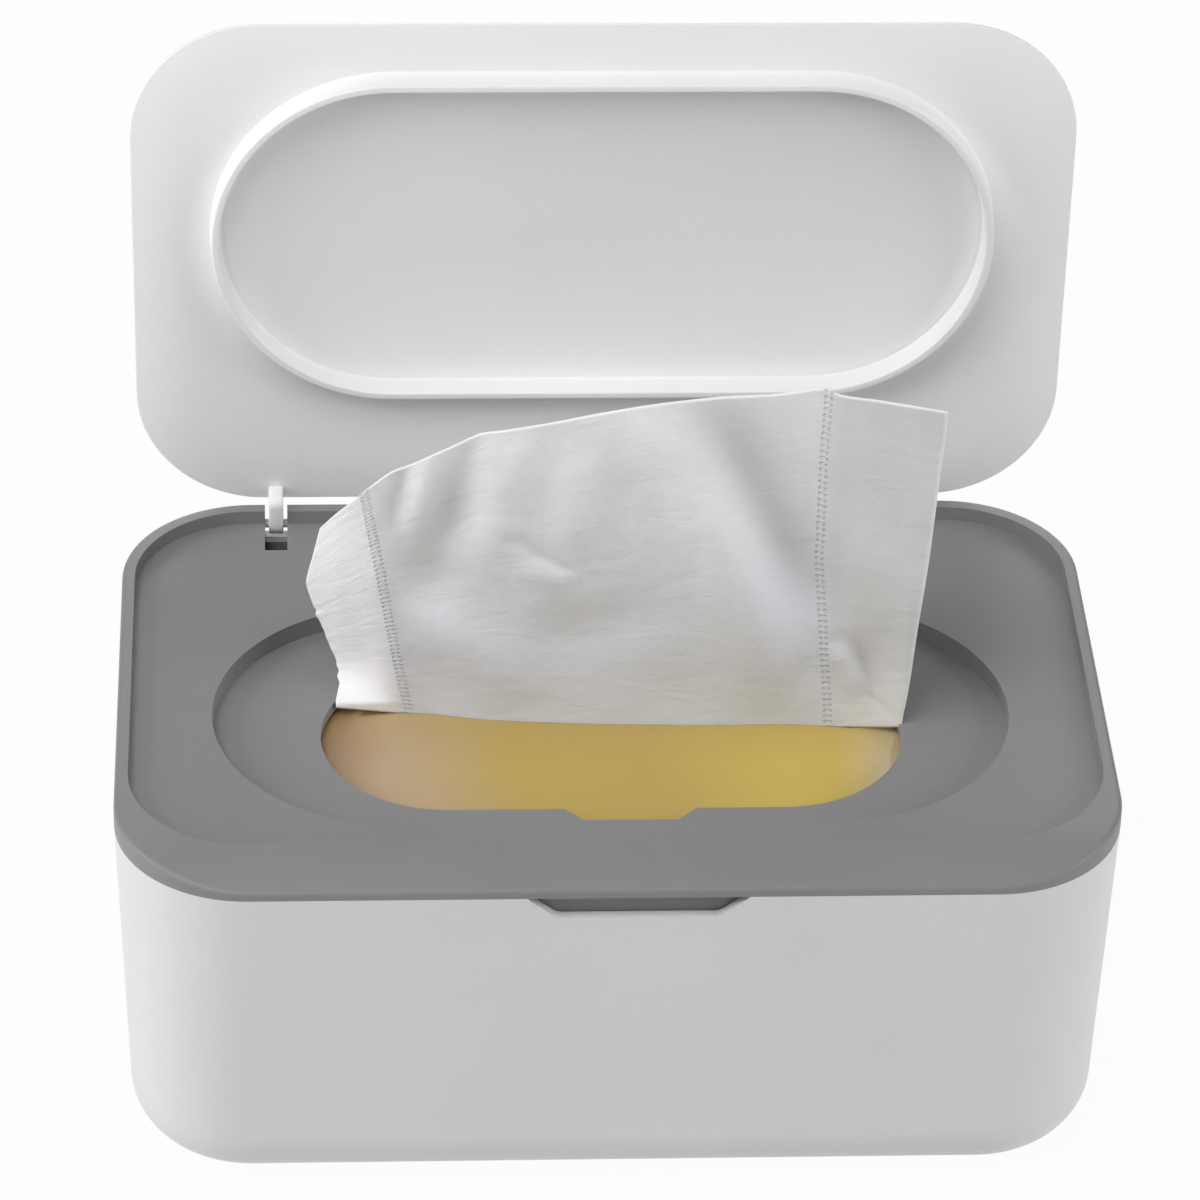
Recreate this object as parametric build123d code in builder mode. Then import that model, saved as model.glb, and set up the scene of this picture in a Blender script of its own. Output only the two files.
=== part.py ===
from build123d import *
import os
from math import asin, cos, degrees, radians, sin, tan

os.makedirs("parts", exist_ok=True)

# Wipes dispenser box with a middle cover and a hinged lid, lid open.
# Millimetres, +Z up, +Y to the back. The origin is on the floor, under the middle of the box.

# Outline shared by the box and the middle cover
box_width = 190.0
box_depth = 126.0
box_corner = 25.3

# Base box
foot_height = 0.8
box_top = 71.5
box_wall = 2.2
box_draft = 1.8
bottom_round = 12.0

# Notch in the front wall, for a finger under the middle cover, a little right of the middle
notch_width = 42.0
notch_bottom_width = 30.5
notch_depth = 4.8
notch_round = 3.0
notch_x = 2.6

# Feet
foot_diameter = 12.0
foot_pocket = 0.6
foot_gap = 0.15
foot_inset_x = 27.0
foot_inset_y = 23.0

# Middle cover
cover_height = 4.5
seat_depth = 3.0
plate_thickness = 2.0
side_frame = 2.5
back_frame = 3.1
front_frame = 11.6
frame_edge_round = 1.0
front_roll = 15.0
front_edge_height = 1.6
skirt_depth = 6.0
skirt_wall = 1.6
skirt_gap = 0.35

# Oval recess and dispensing slot
recess_side = 18.1
recess_depth_y = 72.6
recess_y = -5.6
recess_drop = 4.0
recess_floor = 2.0
recess_wall = 1.8
slot_side = 20.8
slot_depth_y = 48.0
slot_y = -7.8
thumb_width = 25.0
thumb_bottom_width = 18.0
thumb_depth = 3.6

# Lid
lid_side_gap = 0.3
lid_front_gap = 0.4
lid_rear_gap = 2.3
lid_edge = 0.8
lid_crown = 2.9
lid_crown_length = 36.0
lid_roll_depth = 1.0
lid_roll = 11.0
roll_steps = 5
lid_lift = 1.5
dish_depth = 3.0
dish_steps = 5
lid_open_angle = 90.0

# Seal ring under the lid
ring_gap = 0.3
ring_floor_gap = 0.3
ring_lip = 1.5
ring_root = 2.4
ring_groove = 1.0
ring_fit = 0.03
groove_wall = 1.0

# Hinge
hinge_inset = 30.4
hinge_slot = 4.5
hinge_slot_length = 12.6
arm_width = 2.9
arm_radius = 2.1
arm_reach = 3.3
arm_root = 0.8
pivot_inset = 1.5
pivot_drop = 2.4
trunnion_radius = 0.9
trunnion_gap = 0.07
trunnion_length = 2.6
cheek_width = 3.2
cheek_gap = 0.3
knuckle_gap = 0.4

# Refill pack and wipes
pack_end_room = 10.8
pack_side_room = 11.8
pack_gap = 1.0
pack_round = 9.0
film = 0.8
pack_slit_end = 25.5
pack_slit_depth = 6.4
stack_gap = 0.3
fin_length = 12.0
fin_side = 10.0
fin_thickness = 1.2
wipe_thickness = 0.8
wipe_foot_gap = 0.4
wipe_y = 1.0
wipe_turn = 4.5
wipe_folds = 5
wipe_fold_height = 1.2
wipe_left = -62.0
wipe_right = 64.0
wipe_top = 146.0
wipe_neck_left = -49.5
wipe_neck_right = 53.0
# Torn outline, from the left corner round to the right: across, and up from the seat level
wipe_outline = [
    (-53.7, 8.0),
    (-56.7, 19.0),
    (-59.1, 28.5),
    (-56.6, 36.5),
    (-47.6, 47.0),
    (-25.7, 60.0),
    (23.7, 68.3),
    (39.6, 69.3),
    (61.8, 64.8),
    (57.0, 3.0),
]

# Levels and places that follow from the sizes above
frame_top = box_top + cover_height
seat_level = frame_top - seat_depth
plate_bottom = seat_level - plate_thickness
recess_level = seat_level - recess_drop
recess_bottom = recess_level - recess_floor
half_width = box_width / 2
half_depth = box_depth / 2
foot_x = half_width - foot_inset_x
foot_y = half_depth - foot_inset_y
hinge_x = half_width - hinge_inset
recess_width = box_width - 2 * recess_side
slot_width = recess_width - 2 * slot_side
seat_back = half_depth - back_frame
seat_front = -half_depth + front_frame
seat_width = box_width - 2 * side_frame
seat_corner = box_corner - side_frame
inner_half_depth = half_depth - box_wall
floor_level = foot_height + box_wall

pivot_y = half_depth - pivot_inset
lid_back = seat_back - lid_rear_gap
lid_length = lid_back - seat_front - lid_front_gap
lid_width = seat_width - 2 * lid_side_gap
lid_corner = box_corner
lid_level = seat_level + lid_lift
pivot_z = lid_level - pivot_drop
pivot_behind_lid = pivot_y - lid_back
cheek_bottom = pivot_z - arm_radius - knuckle_gap

ring_height = lid_level - recess_level - ring_floor_gap
ring_from_back = lid_back - recess_y

pack_width = box_width - 2 * (box_wall + pack_end_room)
pack_depth = box_depth - 2 * (box_wall + pack_side_room)
pack_slit_width = pack_width - 2 * pack_slit_end
fin_depth = pack_depth - 2 * fin_side
pack_top = recess_bottom - pack_gap
stack_top = pack_top - film - stack_gap


def turned(y, z):
    """Place of a point of the closed lid once the lid is open."""
    angle = radians(lid_open_angle)
    dy = y - pivot_y
    dz = z - pivot_z
    return pivot_y + dy * cos(angle) + dz * sin(angle), pivot_z - dy * sin(angle) + dz * cos(angle)


def lid_plane(height=0.0):
    """Plane of the lid's edge: x to the right, y from the hinge to the front edge, z out of its underside."""
    angle = radians(lid_open_angle)
    y, z = turned(lid_back, lid_level)
    normal = Vector(0, -sin(angle), -cos(angle))
    return Plane(origin=Vector(0, y, z) + normal * height, x_dir=(1, 0, 0), z_dir=normal)


def arm_plane(x):
    """Plane across the hinge: x from the hinge to the lid's front edge, y out of its underside."""
    angle = radians(lid_open_angle)
    y, z = turned(lid_back, lid_level)
    return Plane(origin=(x, y, z), x_dir=(0, -cos(angle), sin(angle)), z_dir=(1, 0, 0))


# Inside of the base box
with BuildPart() as box_inside:
    with BuildSketch(Plane.XY.offset(box_top)):
        RectangleRounded(box_width - 2 * box_wall, box_depth - 2 * box_wall, box_corner - box_wall)
    extrude(amount=-(box_top - floor_level), taper=box_draft)
    fillet(box_inside.faces().sort_by(Axis.Z)[0].edges(), bottom_round - box_wall)


# Base box
with BuildPart() as base_box:
    with BuildSketch(Plane.XY.offset(box_top)):
        RectangleRounded(box_width, box_depth, box_corner)
    extrude(amount=-(box_top - foot_height), taper=box_draft)
    fillet(base_box.faces().sort_by(Axis.Z)[0].edges(), bottom_round)
    add(box_inside.part, mode=Mode.SUBTRACT)
    # Front notch: two ramps with rounded ends
    with BuildSketch(Plane.XZ.offset(half_depth + box_wall)) as notch:
        with BuildLine():
            Polyline(
                (notch_x - notch_width / 2, box_top + notch_depth),
                (notch_x - notch_width / 2, box_top),
                (notch_x - notch_bottom_width / 2, box_top - notch_depth),
                (notch_x + notch_bottom_width / 2, box_top - notch_depth),
                (notch_x + notch_width / 2, box_top),
                (notch_x + notch_width / 2, box_top + notch_depth),
                close=True,
            )
        make_face()
        fillet(notch.vertices().group_by(Axis.Y)[0] + notch.vertices().group_by(Axis.Y)[1], notch_round)
    extrude(amount=-(box_wall * 3), mode=Mode.SUBTRACT)
    # Room in the back wall for the cover's hinge cheeks
    with BuildSketch(Plane.XZ.offset(-half_depth - box_wall)):
        with Locations((-hinge_x, box_top), (hinge_x, box_top)):
            Rectangle(hinge_slot + 2 * (cheek_width + cheek_gap), 2 * (box_top - cheek_bottom + cheek_gap))
    extrude(amount=box_wall * 3, mode=Mode.SUBTRACT)
    # Pockets for the feet
    with BuildSketch(Plane.XY.offset(foot_height)):
        with GridLocations(2 * foot_x, 2 * foot_y, 2, 2):
            Circle(foot_diameter / 2 + foot_gap)
    extrude(amount=foot_pocket, mode=Mode.SUBTRACT)
base_box.part.label = "base_box"
export_step(base_box.part, "parts/base_box.step")


# Feet
foot_names = {
    "foot_front_left": (-foot_x, -foot_y),
    "foot_front_right": (foot_x, -foot_y),
    "foot_rear_left": (-foot_x, foot_y),
    "foot_rear_right": (foot_x, foot_y),
}
for foot_name, (x, y) in foot_names.items():
    with BuildPart() as foot:
        with BuildSketch(Plane.XY):
            with Locations((x, y)):
                Circle(foot_diameter / 2)
        extrude(amount=foot_height + foot_pocket)
        chamfer(foot.edges().group_by(Axis.Z)[0], foot_height / 4)
    foot.part.label = foot_name
    export_step(foot.part, f"parts/{foot_name}.step")


# Middle cover
with BuildPart() as middle_cover:
    # Block of the frame, with the front rolling down to a thin edge
    with BuildSketch(Plane.XY.offset(box_top)):
        RectangleRounded(box_width, box_depth, box_corner)
    extrude(amount=cover_height)
    roll_y = -half_depth + front_roll
    roll_drop = cover_height - front_edge_height
    roll_radius = (front_roll**2 + roll_drop**2) / (2 * roll_drop)
    roll_angle = 1.3 * degrees(asin(front_roll / roll_radius))
    with BuildSketch(Plane.YZ.offset(-box_width)):
        with BuildLine():
            roll = JernArc((roll_y, frame_top), (-1, 0), roll_radius, roll_angle)
            Polyline(
                roll @ 1,
                ((roll @ 1).X, recess_bottom),
                (box_depth, recess_bottom),
                (box_depth, frame_top),
                roll @ 0,
            )
        make_face()
    extrude(amount=2 * box_width, mode=Mode.INTERSECT)
    tops = [face for face in middle_cover.faces() if face.normal_at().Z > 0.5]
    rim = [edge for edge in middle_cover.edges() if sum(edge in top.edges() for top in tops) == 1]
    fillet(rim, frame_edge_round)
    # Seat that the lid sinks into
    seat_y = (seat_back + seat_front) / 2
    with BuildSketch(Plane.XY.offset(seat_level)):
        with Locations((0, seat_y)):
            RectangleRounded(seat_width, seat_back - seat_front, seat_corner)
    extrude(amount=seat_depth * 2, mode=Mode.SUBTRACT)
    # Skirt that drops inside the box
    skirt_offset = box_wall + skirt_gap
    with BuildSketch(Plane.XY.offset(box_top)):
        RectangleRounded(
            box_width - 2 * skirt_offset, box_depth - 2 * skirt_offset, box_corner - skirt_offset
        )
    extrude(amount=-(box_top - plate_bottom + skirt_depth))
    inner_offset = skirt_offset + skirt_wall
    with BuildSketch(Plane.XY.offset(plate_bottom)):
        RectangleRounded(
            box_width - 2 * inner_offset, box_depth - 2 * inner_offset, box_corner - inner_offset
        )
    extrude(amount=-(skirt_depth + plate_thickness), mode=Mode.SUBTRACT)
    # Tub of the oval recess
    with BuildSketch(Plane.XY.offset(seat_level)):
        with Locations((0, recess_y)):
            SlotOverall(recess_width + 2 * recess_wall, recess_depth_y + 2 * recess_wall)
    extrude(amount=-(recess_drop + recess_floor))
    with BuildSketch(Plane.XY.offset(seat_level)):
        with Locations((0, recess_y)):
            SlotOverall(recess_width, recess_depth_y)
    extrude(amount=-recess_drop, mode=Mode.SUBTRACT)
    # Dispensing slot and its thumb notch, in line with the front notch
    with BuildSketch(Plane.XY.offset(recess_level)):
        with Locations((0, slot_y)):
            SlotOverall(slot_width, slot_depth_y)
        slot_front = slot_y - slot_depth_y / 2
        with BuildLine():
            Polyline(
                (notch_x - thumb_width / 2, slot_front + thumb_depth),
                (notch_x - thumb_width / 2, slot_front),
                (notch_x - thumb_bottom_width / 2, slot_front - thumb_depth),
                (notch_x + thumb_bottom_width / 2, slot_front - thumb_depth),
                (notch_x + thumb_width / 2, slot_front),
                (notch_x + thumb_width / 2, slot_front + thumb_depth),
                close=True,
            )
        make_face()
    extrude(amount=-recess_floor * 2, mode=Mode.SUBTRACT)
    # Hinge cheeks below the frame, then the slots and bores
    cheek_depth = half_depth - inner_half_depth + skirt_gap
    with BuildSketch(Plane.XY.offset(box_top)):
        with Locations(*[(x, half_depth - cheek_depth / 2) for x in (-hinge_x, hinge_x)]):
            Rectangle(hinge_slot + 2 * cheek_width, cheek_depth)
    extrude(amount=-(box_top - cheek_bottom))
    slot_low = cheek_bottom - cheek_gap
    with BuildSketch(Plane.XY.offset(slot_low)):
        with Locations(*[(x, half_depth - hinge_slot_length / 2 + 1) for x in (-hinge_x, hinge_x)]):
            Rectangle(hinge_slot, hinge_slot_length + 2)
    extrude(amount=frame_top - slot_low + 1, mode=Mode.SUBTRACT)
    bore_reach = hinge_slot / 2 + cheek_width + 1
    for x in (-hinge_x, hinge_x):
        with BuildSketch(Plane.YZ.offset(x - bore_reach)):
            with Locations((pivot_y, pivot_z)):
                Circle(trunnion_radius + trunnion_gap)
        extrude(amount=2 * bore_reach, mode=Mode.SUBTRACT)
middle_cover.part.label = "middle_cover"
export_step(middle_cover.part, "parts/middle_cover.step")


# Lid, standing open
lip_width = recess_width - 2 * ring_gap
lip_depth_y = recess_depth_y - 2 * ring_gap
root_spread = ring_root - ring_lip
groove_width = lip_width + root_spread
groove_depth_y = lip_depth_y + root_spread
dish_width = groove_width - 2 * (ring_root + groove_wall)
dish_depth_y = groove_depth_y - 2 * (ring_root + groove_wall)


def bowl(length, depth, steps):
    """Insets and sinks of a parabola that starts steep at the edge and ends flat, length across, depth deep."""
    stops = [step / steps for step in range(steps + 1)]
    return [(length * t, depth * (1 - (1 - t) ** 2)) for t in stops]


with BuildPart() as lid:
    # Edge band, then the underside's roll and the domed top, as sections that shrink
    underside = [(inset, sink - lid_roll_depth) for inset, sink in bowl(lid_roll, lid_roll_depth, roll_steps)]
    top = [
        (inset, -lid_roll_depth - lid_edge - sink)
        for inset, sink in bowl(lid_crown_length, lid_crown, roll_steps)
    ]
    for inset, level in underside[::-1] + top:
        with BuildSketch(lid_plane(level)):
            with Locations((0, lid_length / 2)):
                RectangleRounded(
                    lid_width - 2 * inset, lid_length - 2 * inset, max(lid_corner - inset, lid_corner / 2)
                )
    loft(ruled=True)
    # Dish inside the seal ring
    dish = bowl(dish_depth_y / 2 * 0.9, dish_depth, dish_steps)
    for inset, sink in [(0, -ring_groove)] + dish:
        with BuildSketch(lid_plane(-sink)):
            with Locations((0, ring_from_back)):
                SlotOverall(dish_width - 2 * inset, dish_depth_y - 2 * inset)
    loft(ruled=True, mode=Mode.SUBTRACT)
    # Groove for the root of the seal ring
    with BuildSketch(lid_plane()):
        with Locations((0, ring_from_back)):
            SlotOverall(groove_width, groove_depth_y)
            SlotOverall(groove_width - 2 * ring_root, groove_depth_y - 2 * ring_root, mode=Mode.SUBTRACT)
    extrude(amount=-ring_groove, mode=Mode.SUBTRACT)
    # Hinge arms with their trunnions
    for x in (-hinge_x, hinge_x):
        with BuildSketch(arm_plane(x)):
            with Locations(((arm_reach - pivot_behind_lid) / 2, pivot_drop)):
                SlotCenterToCenter(arm_reach + pivot_behind_lid, 2 * arm_radius)
            with Locations((arm_root, -lid_roll_depth - lid_edge / 2)):
                Rectangle(
                    arm_reach + arm_radius - arm_root,
                    pivot_drop + lid_roll_depth + lid_edge / 2,
                    align=(Align.MIN, Align.MIN),
                )
        extrude(amount=arm_width / 2, both=True)
        with BuildSketch(Plane.YZ.offset(x)):
            with Locations((pivot_y, pivot_z)):
                Circle(trunnion_radius)
        extrude(amount=hinge_slot / 2 + trunnion_length, both=True)
lid.part.label = "lid"
export_step(lid.part, "parts/lid.step")


# Seal ring: a root in the lid's groove and a thinner lip
with BuildPart() as seal_ring:
    with BuildSketch(lid_plane(-ring_groove)):
        with Locations((0, ring_from_back)):
            SlotOverall(groove_width - 2 * ring_fit, groove_depth_y - 2 * ring_fit)
            SlotOverall(
                groove_width - 2 * ring_root + 2 * ring_fit,
                groove_depth_y - 2 * ring_root + 2 * ring_fit,
                mode=Mode.SUBTRACT,
            )
    extrude(amount=ring_groove)
    with BuildSketch(lid_plane()):
        with Locations((0, ring_from_back)):
            SlotOverall(lip_width, lip_depth_y)
            SlotOverall(lip_width - 2 * ring_lip, lip_depth_y - 2 * ring_lip, mode=Mode.SUBTRACT)
    extrude(amount=ring_height)
    crest = seal_ring.faces().sort_by(Axis(lid_plane().origin, lid_plane().z_dir))[-1]
    fillet(crest.edges(), ring_lip * 0.4)
seal_ring.part.label = "seal_ring"
export_step(seal_ring.part, "parts/seal_ring.step")


# Refill pack: wipes in a film wrapper, its crimped ends folded down flat, with an opened slit on top
pack_height = pack_top - floor_level
slit_turn = -wipe_turn
with BuildPart() as pack_inside:
    with BuildSketch(Plane.XY.offset(floor_level + film)):
        Rectangle(pack_width - 2 * film, pack_depth - 2 * film)
    extrude(amount=pack_height - 2 * film)
    fillet(pack_inside.edges(), pack_round - film)

with BuildPart() as refill_wrapper:
    with BuildSketch(Plane.XY.offset(floor_level)):
        Rectangle(pack_width, pack_depth)
    extrude(amount=pack_height)
    fillet(refill_wrapper.edges(), pack_round)
    with BuildSketch(Plane.XY.offset(floor_level + pack_height / 2)):
        Rectangle(pack_width + 2 * fin_thickness, fin_depth)
    extrude(amount=-fin_length)
    add(pack_inside.part, mode=Mode.SUBTRACT)
    with BuildSketch(Plane.XY.offset(pack_top)):
        with Locations((0, wipe_y)):
            SlotOverall(pack_slit_width, pack_slit_depth, rotation=slit_turn)
    extrude(amount=-2 * film, mode=Mode.SUBTRACT)
refill_wrapper.part.label = "refill_wrapper"
export_step(refill_wrapper.part, "parts/refill_wrapper.step")

with BuildPart() as wipe_stack:
    with BuildSketch(Plane.XY.offset(floor_level + film)):
        Rectangle(pack_width - 2 * (film + stack_gap), pack_depth - 2 * (film + stack_gap))
    extrude(amount=stack_top - floor_level - film)
    fillet(wipe_stack.edges(), pack_round - film - stack_gap)
wipe_stack.part.label = "wipe_stack"
export_step(wipe_stack.part, "parts/wipe_stack.step")


# Wipe pulled up through the slot: a folded sheet cut to a torn outline
wipe_foot = stack_top + wipe_foot_gap
wipe_neck = seat_level
fold_x = [wipe_left + (wipe_right - wipe_left) * n / wipe_folds for n in range(wipe_folds + 1)]
fold_ends = [(x, wipe_y - x * tan(radians(wipe_turn))) for x in fold_x]
with BuildPart() as pulled_wipe:
    with BuildSketch(Plane.XY.offset(wipe_foot)):
        with BuildLine() as folds:
            for number in range(wipe_folds):
                sagitta = wipe_fold_height if number % 2 else -wipe_fold_height
                SagittaArc(fold_ends[number], fold_ends[number + 1], sagitta)
        trace(folds.edges(), line_width=wipe_thickness)
    extrude(amount=wipe_top - wipe_foot)
    with BuildSketch(Plane.XZ):
        with BuildLine():
            Polyline(
                (wipe_neck_left, wipe_foot),
                (wipe_neck_left, wipe_neck),
                *[(x, wipe_neck + rise) for x, rise in wipe_outline],
                (wipe_neck_right, wipe_neck),
                (wipe_neck_right, wipe_foot),
                close=True,
            )
        make_face()
    extrude(amount=box_depth, both=True, mode=Mode.INTERSECT)
pulled_wipe.part.label = "pulled_wipe"
export_step(pulled_wipe.part, "parts/pulled_wipe.step")
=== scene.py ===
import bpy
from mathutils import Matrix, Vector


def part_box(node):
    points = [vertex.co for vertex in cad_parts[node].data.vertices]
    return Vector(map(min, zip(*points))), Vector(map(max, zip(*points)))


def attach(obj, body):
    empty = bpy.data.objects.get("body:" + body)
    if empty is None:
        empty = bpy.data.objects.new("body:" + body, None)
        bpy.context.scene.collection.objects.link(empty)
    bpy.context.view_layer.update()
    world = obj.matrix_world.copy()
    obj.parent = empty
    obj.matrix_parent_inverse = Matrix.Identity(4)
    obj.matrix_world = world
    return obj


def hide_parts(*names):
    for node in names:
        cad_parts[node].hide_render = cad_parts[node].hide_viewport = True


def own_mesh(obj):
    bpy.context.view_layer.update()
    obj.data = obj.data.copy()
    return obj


bl_info = {
    "name": "Wipes Dispenser Case",
    "version": (1, 0, 0),
    "blender": (4, 5, 0),
    "location": "View3D > Sidebar > Wipes Case",
    "description": "Dresses the solids of a wipes dispenser case with its lid, seal, film, wipe and finishes",
    "category": "Add Mesh",
}

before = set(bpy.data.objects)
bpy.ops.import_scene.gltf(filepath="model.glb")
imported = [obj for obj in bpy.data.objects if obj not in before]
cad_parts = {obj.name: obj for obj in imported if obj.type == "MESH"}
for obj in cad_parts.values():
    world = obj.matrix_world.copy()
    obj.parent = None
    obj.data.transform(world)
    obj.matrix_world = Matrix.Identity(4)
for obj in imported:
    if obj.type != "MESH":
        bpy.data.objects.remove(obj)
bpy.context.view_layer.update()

import math

import bmesh
import bpy
import numpy as np
from bpy.props import FloatProperty, FloatVectorProperty, IntProperty, PointerProperty
from mathutils import Matrix, Vector

MM = 0.001


# Shapes


def write_mesh(name, rows, wrap_rows=False, wrap_columns=True, uv=None, facts=None, flip=False):
    """A mesh over a grid of points in millimetres, rows x columns x 3. Each cell of the grid is one face,
    the last row or column joins the first where it wraps, and points that coincide are merged."""
    rows = np.asarray(rows, float)
    m, n = rows.shape[:2]
    index = np.arange(m * n).reshape(m, n)
    a = np.arange(m if wrap_rows else m - 1)
    b = np.arange(n if wrap_columns else n - 1)
    i, j = (g.ravel() for g in np.meshgrid(a, b, indexing="ij"))
    corners = [index[i, j], index[i, (j + 1) % n], index[(i + 1) % m, (j + 1) % n], index[(i + 1) % m, j]]
    faces = np.stack(corners[::-1] if flip else corners, axis=1)
    mesh = bpy.data.meshes.new(name)
    mesh.from_pydata((rows.reshape(-1, 3) * MM).tolist(), [], faces.tolist())
    if uv is not None:
        layer = mesh.uv_layers.new(name="cloth")
        loops = np.zeros(len(mesh.loops), int)
        mesh.loops.foreach_get("vertex_index", loops)
        layer.data.foreach_set("uv", (uv.reshape(-1, 2)[loops] * MM).ravel().astype(np.float32))
    for fact, values in (facts or {}).items():
        data = mesh.attributes.new(fact, "FLOAT", "POINT").data
        data.foreach_set("value", values.ravel().astype(np.float32))
    mesh.validate()
    mesh.shade_smooth()
    piece = bpy.data.objects.new(name, mesh)
    bpy.context.scene.collection.objects.link(piece)
    return piece


def weld(piece):
    """Merges points that coincide, and turns the faces of a closed shape outwards."""
    work = bmesh.new()
    work.from_mesh(piece.data)
    bmesh.ops.remove_doubles(work, verts=work.verts, dist=1e-6)
    bmesh.ops.dissolve_degenerate(work, edges=work.edges, dist=1e-7)
    bmesh.ops.recalc_face_normals(work, faces=work.faces)
    work.to_mesh(piece.data)
    work.free()
    piece.data.shade_smooth()
    return piece


def join_shells(name, pieces):
    """One piece out of several closed shells."""
    work = bmesh.new()
    for piece in pieces:
        work.from_mesh(piece.data)
        bpy.data.objects.remove(piece)
    mesh = bpy.data.meshes.new(name)
    work.to_mesh(mesh)
    work.free()
    mesh.shade_smooth()
    whole = bpy.data.objects.new(name, mesh)
    bpy.context.scene.collection.objects.link(whole)
    return whole


def loop_signs(arc, long_side, short_side):
    """Where each point of a rounded loop stands: the sign of its corner's centre in both directions, sliding
    from one corner to the next along a straight side, and the outward normal, which turns round a corner."""
    cx, cy, nx, ny = [], [], [], []
    corners = [(1, 1), (-1, 1), (-1, -1), (1, -1)]
    for k, (sx, sy) in enumerate(corners):
        turn = (k + np.linspace(0, 1, arc)) * math.pi / 2
        cx.append(np.full(arc, sx))
        cy.append(np.full(arc, sy))
        nx.append(np.cos(turn))
        ny.append(np.sin(turn))
        ex, ey = corners[(k + 1) % 4]
        t = np.linspace(0, 1, (long_side if k % 2 == 0 else short_side) + 2)[1:-1]
        cx.append(sx + (ex - sx) * t)
        cy.append(sy + (ey - sy) * t)
        nx.append(np.full(len(t), math.cos((k + 1) * math.pi / 2)))
        ny.append(np.full(len(t), math.sin((k + 1) * math.pi / 2)))
    return [np.concatenate(part).astype(float) for part in (cx, cy, nx, ny)]


def loops(half_x, half_y, radius, signs):
    """Rounded loops, one a row: corner sign times (half size - radius), plus normal times radius."""
    cx, cy, nx, ny = signs
    hx, hy, r = (np.asarray(v, float)[:, None] for v in (half_x, half_y, radius))
    return cx * (hx - r) + nx * r, cy * (hy - r) + ny * r


def edge_distance(x, y, half_x, half_y, radius):
    """How far inside a rounded rectangle each point is, 0 on its outline."""
    qx = np.abs(x) - (half_x - radius)
    qy = np.abs(y) - (half_y - radius)
    outside = np.hypot(np.maximum(qx, 0), np.maximum(qy, 0))
    return radius - outside - np.minimum(np.maximum(qx, qy), 0)


def path_through(points, count, ease=1.0):
    """A smooth cubic curve through the points, sampled at even lengths. Less ease keeps corners crisper."""
    p = np.asarray(points, float)
    t = np.concatenate([[0], np.cumsum(np.hypot(*np.diff(p, axis=0).T))])
    slope = ease * np.gradient(p, t, axis=0)
    s = np.linspace(0, t[-1], 2000)
    k = np.clip(np.searchsorted(t, s, side="right") - 1, 0, len(t) - 2)
    h = (t[k + 1] - t[k])[:, None]
    f = (s - t[k])[:, None] / h
    curve = (
        (2 * f**3 - 3 * f**2 + 1) * p[k]
        + (f**3 - 2 * f**2 + f) * h * slope[k]
        + (3 * f**2 - 2 * f**3) * p[k + 1]
        + (f**3 - f**2) * h * slope[k + 1]
    )
    run = np.concatenate([[0], np.cumsum(np.hypot(*np.diff(curve, axis=0).T))])
    even = np.linspace(0, run[-1], count)
    return np.stack([np.interp(even, run, curve[:, 0]), np.interp(even, run, curve[:, 1])], axis=1)


def crease(x, z, start, end, width):
    """A bell across the line from start to end, exp(-(distance / width)^2), that fades out past both ends."""
    ax, az = start
    bx, bz = end
    length = math.hypot(bx - ax, bz - az)
    along = ((x - ax) * (bx - ax) + (z - az) * (bz - az)) / length**2
    across = ((x - ax) * (bz - az) - (z - az) * (bx - ax)) / length
    fade = np.clip((along + 0.3) / 0.6, 0, 1) * np.clip((1.3 - along) / 0.6, 0, 1)
    return np.exp(-((across / width) ** 2)) * fade**2 * (3 - 2 * fade)


# Finishes


class Nodes:
    """Adds nodes to a material and links them."""

    def __init__(self, name):
        self.material = bpy.data.materials.new(name)
        self.material.use_nodes = True
        self.tree = self.material.node_tree
        self.shader = self.tree.nodes["Principled BSDF"]
        self.place = self.add("ShaderNodeTexCoord").outputs["Object"]

    def add(self, kind, inputs=None, **settings):
        node = self.tree.nodes.new(kind)
        for key, value in settings.items():
            setattr(node, key, value)
        for key, value in (inputs or {}).items():
            if isinstance(value, bpy.types.NodeSocket):
                self.tree.links.new(value, node.inputs[key])
            else:
                node.inputs[key].default_value = value
        return node

    def noise(self, scale, detail=3.0, roughness=0.5, place=None, warp=0.0):
        return self.add(
            "ShaderNodeTexNoise",
            {
                "Vector": place or self.place,
                "Scale": scale,
                "Detail": detail,
                "Roughness": roughness,
                "Distortion": warp,
            },
        ).outputs["Fac"]

    def math(self, operation, *values, clamp=False):
        inputs = dict(enumerate(values))
        return self.add("ShaderNodeMath", inputs, operation=operation, use_clamp=clamp).outputs[0]

    def spread(self, value, low, high, start=0.35, end=0.65):
        """Maps a noise onto low to high."""
        return self.add(
            "ShaderNodeMapRange",
            {"Value": value, "From Min": start, "From Max": end, "To Min": low, "To Max": high},
        ).outputs[0]

    def mix(self, factor, first, second):
        node = self.add("ShaderNodeMix", data_type="RGBA")
        for key, value in ((0, factor), (6, first), (7, second)):
            if isinstance(value, bpy.types.NodeSocket):
                self.tree.links.new(value, node.inputs[key])
            else:
                node.inputs[key].default_value = value
        return node.outputs[2]

    def bump(self, height, depth, strength=1.0, before=None):
        inputs = {"Height": height, "Distance": depth, "Strength": strength}
        if before is not None:
            inputs["Normal"] = before
        return self.add("ShaderNodeBump", inputs).outputs["Normal"]

    def feed(self, **sockets):
        for key, value in sockets.items():
            socket = self.shader.inputs[key.replace("_", " ")]
            if isinstance(value, bpy.types.NodeSocket):
                self.tree.links.new(value, socket)
            else:
                socket.default_value = value
        return self.material


def tint(colour, factor):
    """A colour as linear red, green, blue and alpha, made lighter or darker."""
    return [min(1.0, c * factor) for c in colour[:3]] + [1.0]


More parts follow.
